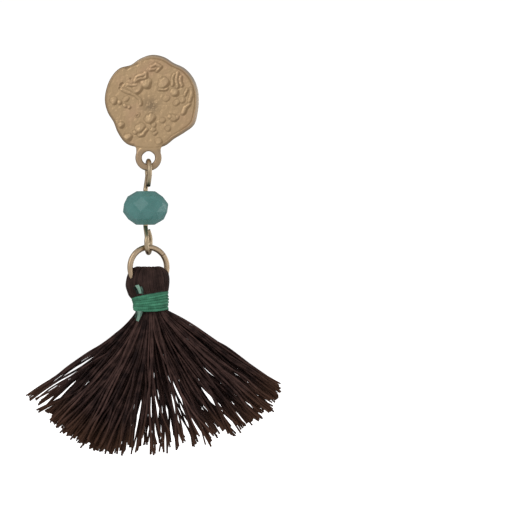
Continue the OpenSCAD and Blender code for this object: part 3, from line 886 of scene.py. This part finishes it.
def thread(name, dark, light, share_of_tint, pitch, roughness, sheen):
    """A thread's material, and the group whose colour may take more layers."""
    made, tree, shader = material_of(name)
    tint = ranged(tree, attribute_of(tree, "tint"), 0.0, 1.0, 0.0, share_of_tint)
    group = add(tree, "ShaderNodeGroup", {"node_tree": twist_group}, {
        "Dark": (*dark, 1), "Light": (*light, 1), "Tint": tint, "Pitch": pitch, "Groove": 0.5,
    })
    tree.links.new(group.outputs["Color"], shader.inputs["Base Color"])
    tree.links.new(group.outputs["Normal"], shader.inputs["Normal"])
    tree.links.new(ranged(tree, group.outputs["Twist"], 0.0, 1.0, roughness + 0.1, roughness),
                   shader.inputs["Roughness"])
    shader.inputs["Sheen Weight"].default_value = sheen
    shader.inputs["Sheen Roughness"].default_value = 0.4
    shader.inputs["Specular IOR Level"].default_value = 0.12
    return made, tree, shader, group


brown_thread = thread(
    "brown_thread", (0.018, 0.010, 0.0085), (0.09, 0.05, 0.042), 0.42, 0.55, 0.65, 0.0)[0]
head = swept("tassel_head", head_routes, thread_r, 6, 3, brown_thread, 0.12, 2.0, 3)

core_rows = []
core_angles = np.linspace(0, 2 * math.pi, core_sides, endpoint=False)
for k in np.linspace(0, 1, 14):
    w, d, x, rise, z = head_at(k)
    out = w * core_share * np.cos(core_angles)
    rows_y = plane_y + d * core_share * np.sin(core_angles)
    rows_z = z - 0.25 * (1 - k) + rise * np.cos(core_angles)
    core_rows.append(np.stack([x + out, rows_y, rows_z], axis=1))
for z in (head_low - 0.3, bind_low - 0.4):
    out = neck_w / 2 * core_neck * np.cos(core_angles)
    rows_y = plane_y + neck_d / 2 * core_neck * np.sin(core_angles)
    core_rows.append(np.stack([neck_side + out, rows_y, np.full(core_sides, z)], axis=1))
core = applied("tassel_core", mesh_from("tassel_core", [skin([row * MM for row in core_rows])]))
core.data.shade_smooth()
core_thread, tree, shader = material_of("packed_thread")
place = add(tree, "ShaderNodeTexCoord").outputs["Object"]
fibres = add(tree, "ShaderNodeMapping", None, {"Vector": place, "Scale": (1.0, 1.0, 0.08)}).outputs[0]
lines = noise_of(tree, fibres, 0.25, 3.0)
pale = ranged(tree, lines, 0.35, 0.7)
color = blended(tree, pale, (0.012, 0.006, 0.006, 1), (0.035, 0.019, 0.016, 1))
tree.links.new(color, shader.inputs["Base Color"])
tree.links.new(ranged(tree, lines, 0.3, 0.7, 0.9, 0.7), shader.inputs["Roughness"])
bump = add(tree, "ShaderNodeBump", None, {"Strength": 0.8, "Distance": 0.1 * MM, "Height": lines})
tree.links.new(bump.outputs[0], shader.inputs["Normal"])
core.data.materials.append(core_thread)
for piece in (head, core):
    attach(piece, "drop")
    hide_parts("tassel")

# Skirt
# The same threads below the binding, fanned to both sides and cut across with scissors. On the
# left they lie in a dense mass, and in the middle and on the right their ends part with gaps.
skirt_l = 27.6
skirt_r = 0.175
fan_z = bind_low + bind_h / 3
fan_middle = math.radians(3)
fan_side = math.radians(57)
fan_depth = math.radians(19.5)
skirt_points = 15
skirt_threads = 540
root_share = 0.92
bend_drop = 2.6
bend_spread = 7
outer_from = 0.65
own_bow = 0.35
own_hook = 0.25

# Groups: their width, how far their threads close up, how far each strays in bow, hook, length and
# lean in degrees, the outermost groups, and how far the left ones arch
group_step = math.radians(2.7)
group_pull = 0.85
group_spread = (0.4, 0.45, 0.02, 0.8)
first_group = -19
last_group = 21
left_arch = {first_group: 0.4, first_group + 1: -0.6, first_group + 2: -0.8}

# Cut length along the fan, from left to right: lean in degrees and share of the whole length
cut_line = np.array([
    (-54, 0.975),
    (-30, 0.99),
    (-15, 0.99),
    (-7, 0.95),
    (5, 0.93),
    (24, 0.94),
    (40, 0.99),
    (52, 1.02),
    (57, 1.03),
    (60, 0.98),
])

# At each lean: how many threads, how far their ends part into groups and how late on their way,
# and how far the groups and the single threads stray, all as shares but for the power of lateness
crowding = np.array([
    (-53, 0.8, 0.7, 2.5, 0.9, 0.9),
    (-48, 0.35, 0.7, 2.5, 0.9, 0.9),
    (-43, 0.7, 0.7, 2.5, 0.9, 1.2),
    (-37, 2.2, 0.1, 4.0, 0.5, 1.0),
    (-18, 2.2, 0.0, 4.0, 0.5, 1.0),
    (-12, 1.1, 0.6, 4.0, 0.8, 1.4),
    (-4, 0.6, 1.0, 4.5, 0.8, 1.4),
    (22, 0.5, 1.0, 4.5, 0.8, 1.5),
    (34, 0.85, 0.9, 6.0, 0.3, 1.7),
    (50, 1.15, 1.0, 6.5, 0.2, 1.5),
    (59, 1.4, 1.0, 5.0, 0.4, 0.9),
])
crowd_leans = np.linspace(-53, 59, 225)
crowd_sum = np.cumsum(np.interp(crowd_leans, crowding[:, 0], crowding[:, 1]))
crowd_sum = (crowd_sum - crowd_sum[0]) / (crowd_sum[-1] - crowd_sum[0])

skirt_routes = []
inner_routes = []
for i in range(skirt_threads):
    lean_deg = np.interp((i + rng.random()) / skirt_threads, crowd_sum, crowd_leans)
    lean = math.radians(lean_deg)
    side = (lean - fan_middle) / fan_side
    depth = math.copysign(rng.random() ** 0.8, rng.random() - 0.5)
    parting, late, group_stray, own_stray = (
        np.interp(lean_deg, crowding[:, 0], crowding[:, k]) for k in (2, 3, 4, 5))
    place_in_group = lean / group_step
    group_number = min(max(round(place_in_group), first_group), last_group)
    group_rng = np.random.default_rng(1000 + group_number)
    group_bow, group_hook, group_reach, group_lean = group_rng.normal(0, group_spread)
    group_bow = group_stray * group_bow - left_arch.get(group_number, 0)
    pull = (group_number - place_in_group) * group_step * group_pull * parting
    stray = rng.normal(0, 1 - 0.5 * parting) * own_stray + group_lean * parting * group_stray
    pull += math.radians(stray)
    long = skirt_l * np.interp(lean_deg, cut_line[:, 0], cut_line[:, 1])
    long *= 1 + group_reach * parting + rng.normal(-0.008, 0.011)
    room = math.sqrt(max(0.0, 1 - (0.9 * side) ** 2))
    root = np.array([
        neck_side + neck_w / 2 * root_share * side,
        plane_y + neck_d / 2 * root_share * room * depth,
        bind_low + 0.5,
    ])
    drop = bend_drop - 1.2 * max(0, side) ** 2 + max(0, -side) ** 2
    drop += (1 - side ** 2) * rng.uniform(0, bend_spread)
    bend = root + np.array([0.4 * side, 0.12 * depth * drop, -drop])
    away = fan_depth * depth * (1 - 0.4 * abs(side) ** 3)
    tip = np.array([
        neck_side + long * math.sin(lean),
        plane_y + long * math.sin(away),
        fan_z - long * math.cos(lean) * math.cos(away),
    ])
    t = np.linspace(0, 1, skirt_points)[:, None]
    points = (1 - t) ** 2 * root + 2 * t * (1 - t) * bend + t ** 2 * tip
    bow = group_bow + rng.normal(0, own_bow) * own_stray
    hook = group_hook * group_stray + rng.normal(0, own_hook) * own_stray
    wave = bow * np.sin(math.pi * t ** 1.3) + hook * t * np.sin(2 * math.pi * t)
    wave = wave + long * pull * t ** late
    points += wave * np.array([math.cos(lean), 0, math.sin(lean)])
    loose = np.linspace(0, 1, skirt_points) ** 0.8
    made = route(points, rng.uniform(0.85, 1.15), loose, rng.uniform(0, 50), rng.random() ** 2)
    (skirt_routes if abs(depth) > outer_from else inner_routes).append(made)

skirt_thread, tree, shader, group = thread(
    "skirt_thread", (0.013, 0.006, 0.0058), (0.15, 0.08, 0.067), 0.42, 0.55, 0.6, 0.0)
# The last part of each thread is painted warmer and lighter: a painted glow that stands for light passing
# through the thin cut ends
wear_and_tip_glow = ranged(tree, attribute_of(tree, "along"), 0.86, 1.0, 0.0, 0.6)
color = blended(tree, wear_and_tip_glow, group.outputs["Color"], (0.10, 0.045, 0.022, 1))
tree.links.new(color, shader.inputs["Base Color"])
for name, routes, sides in (("tassel_skirt", skirt_routes, 6), ("inner_skirt", inner_routes, 5)):
    skirt = swept(name, routes, skirt_r, sides, 3, skirt_thread, 1.8, 7.0, 5)
    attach(skirt, "drop")
    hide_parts("tassel")

# Binding
# One green thread wound tightly round the neck and tucked under itself. Its lower turns are
# level and the upper ones climb to the right, and both ends show as short glossy tails.
bind_turns = 7
bind_r = 0.26
bind_sag = 0.3
bind_bulge = 0.3
bind_waver = 0.06
tail_r = 0.17
tail_bow = 0.12
tail_lift = 0.35
top_slant = 1.1
turn_steps = 24
low_z = bind_low + bind_gap + bind_r
high_span = bind_h - 2 * bind_gap - 2 * bind_r


def bind_point(turn, out=0.0):
    """A point on the winding, turns from its lower edge; the first and the last half turn lie level."""
    angle = turn * 2 * math.pi
    share = min(1, max(0, (turn - 0.5) / (bind_turns - 1)))
    left = (1 - math.cos(angle)) / 2
    out += bind_bulge * share * left
    half_w = neck_w / 2 + bind_gap + bind_r + out
    half_d = neck_d / 2 + bind_gap + bind_r + out
    rise = high_span - top_slant * left
    sag = bind_sag * (1 - share) * abs(math.sin(angle))
    across, back = half_w * math.cos(angle), half_d * math.sin(angle)
    return (neck_side + across, plane_y + back, low_z + share * rise - sag)


turns = np.linspace(0, bind_turns, bind_turns * turn_steps + 1)
turn_tint = 0.5 + 0.2 * np.sin(2.4 * np.floor(turns + 0.25))
bind_path = [bind_point(t, bind_waver * math.sin(5 * t)) for t in turns]
bind_routes = [route(bind_path, 1.0, 0.3, 3.0, turn_tint)]
green_thread = thread(
    "green_thread", (0.022, 0.095, 0.055), (0.105, 0.38, 0.23), 0.9, 0.7, 0.5, 0.05)[0]
binding = swept("binding_thread", bind_routes, bind_r, 10, 2, green_thread, 0.1, 1.5, 2)

# Tails, each ply by its bound end and its free end, as place across and height over or under the
# binding, and its tint. The pale middle plies carry a painted highlight, and the dark outer plies are
# painted shadow round the tail.
upper_tail = [
    (-1.85, 0.0, -2.45, 1.1, 0.0), (-1.45, 0.1, -2.1, 1.45, 0.8),
    (-1.25, 0.1, -1.75, 1.5, 1.0), (-0.95, 0.0, -1.2, 1.2, 0.0),
]
lower_tail = [
    (-2.05, 0.1, -2.2, -1.0, 0.0), (-1.7, 0.1, -1.95, -1.5, 0.7),
    (-1.4, 0.1, -1.75, -1.6, 0.9), (-1.1, 0.1, -1.55, -1.1, 0.5),
]
tail_routes = []
for plies, start_z, front in ((upper_tail, bind_top - 0.55, -3.6), (lower_tail, bind_low - 0.15, -3.3)):
    for x0, z0, x1, z1, tint in plies:
        t = np.linspace(0, 1, 6)
        xs = x0 + (x1 - x0) * t + tail_bow * np.sin(math.pi * t)
        zs = start_z + z0 + (z1 - z0) * t
        ys = front - tail_lift * np.sin(math.pi * t * 0.7) - 0.05 * x0
        tail_routes.append(route(np.stack([xs, ys, zs], axis=1), 1.0, 0.2, x0, tint))

# Painted shadow: a near-black strand along the top of the last turn, where shade falls at the binding's
# upper edge
shade = [bind_point(t) for t in np.linspace(bind_turns - 0.45, bind_turns - 0.05, 12)]
tail_routes.append(route([(x, y, z + bind_r) for x, y, z in shade], 0.7, 0.2, 1.0, 0.0))
# The tails' thread is the binding's green painted paler as a highlight, and near black as painted shadow
# on the outer plies and the strand along the last turn
tail_highlight_and_shade = thread(
    "tail_highlight_and_shade", (0.002, 0.012, 0.009), (0.30, 0.51, 0.40), 0.9, 0.5, 0.3, 0.0)[0]
tails = swept("binding_tails_and_shadow", tail_routes, tail_r, 8, 2, tail_highlight_and_shade, 0.1, 1.0, 4)
for piece in (binding, tails):
    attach(piece, "drop")
    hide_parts("binding")

# Studio
# A pale floor below the earring, an even white surround with soft light from the front and the
# upper left, and a camera straight in front of the disc, far off, as in a catalogue picture.
floor_z = -95.0
floor_half = 1200.0
white = 1.05
surround_light = 0.55
floor_mesh = bpy.data.meshes.new("floor")
corners = [
    (x * floor_half * MM, y * floor_half * MM, floor_z * MM)
    for x, y in ((-1, -1), (1, -1), (1, 1), (-1, 1))
]
floor_mesh.from_pydata(corners, [], [(0, 1, 2, 3)])
floor = placed("floor", floor_mesh)
paper, tree, shader = material_of("white_paper")
shader.inputs["Base Color"].default_value = (0.85, 0.85, 0.85, 1)
shader.inputs["Roughness"].default_value = 0.9
shader.inputs["Emission Color"].default_value = (1, 1, 1, 1)
shader.inputs["Emission Strength"].default_value = white
below = add(tree, "ShaderNodeNewGeometry").outputs["Backfacing"]
clear = add(tree, "ShaderNodeBsdfTransparent").outputs[0]
one_sided = add(tree, "ShaderNodeMixShader", None, {0: below, 1: shader.outputs[0], 2: clear})
tree.links.new(one_sided.outputs[0], tree.nodes["Material Output"].inputs["Surface"])
floor_mesh.materials.append(paper)
floor.visible_glossy = False
floor.visible_diffuse = False
floor.visible_shadow = False

world = bpy.data.worlds.new("studio")
bpy.context.scene.world = world
world.use_nodes = True
tree = world.node_tree
direction = add(tree, "ShaderNodeTexCoord").outputs["Generated"]
way = add(tree, "ShaderNodeSeparateXYZ", None, {0: direction}).outputs
front = ranged(tree, way["Y"], 0.1, 0.9, 1.0, 0.35)
top = ranged(tree, way["Z"], -0.6, 0.6, 1.15, 1.0)
light = math_of(tree, "MULTIPLY", math_of(tree, "MULTIPLY", front, top), surround_light)
seen = math_of(tree, "MULTIPLY", add(tree, "ShaderNodeLightPath").outputs["Is Camera Ray"], white)
background = tree.nodes["Background"]
background.inputs["Color"].default_value = (1, 1, 1, 1)
tree.links.new(math_of(tree, "MAXIMUM", light, seen), background.inputs["Strength"])


def soft_light(name, place, target, size, power):
    """A square soft box that faces a point."""
    lamp = bpy.data.lights.new(name, "AREA")
    lamp.shape = "SQUARE"
    lamp.size = size * MM
    lamp.energy = power
    made = placed(name, lamp)
    made.visible_camera = False
    made.location = Vector(place) * MM
    made.rotation_euler = (Vector(target) - Vector(place)).to_track_quat("-Z", "Y").to_euler()


middle = (0, 0, -34)
soft_light("key", (-260, -330, 220), middle, 400, 0.5)
soft_light("fill", (380, -380, -20), middle, 300, 0.1)
soft_light("edge", (330, 160, -10), middle, 260, 0.25)

picture = 527
pixel = 0.176
post_px = 148.6
post_py = 68.4
camera_far = 600.0
camera_data = bpy.data.cameras.new("camera")
camera = placed("camera", camera_data)
bpy.context.scene.camera = camera
camera.location = (
    (picture / 2 - post_px) * pixel * MM,
    -camera_far * MM,
    (post_py - picture / 2) * pixel * MM,
)
camera.rotation_euler = (math.radians(90), 0, 0)
camera_data.sensor_width = 36
camera_data.lens = camera_data.sensor_width * camera_far / (picture * pixel)
bpy.context.scene.view_settings.view_transform = "Standard"
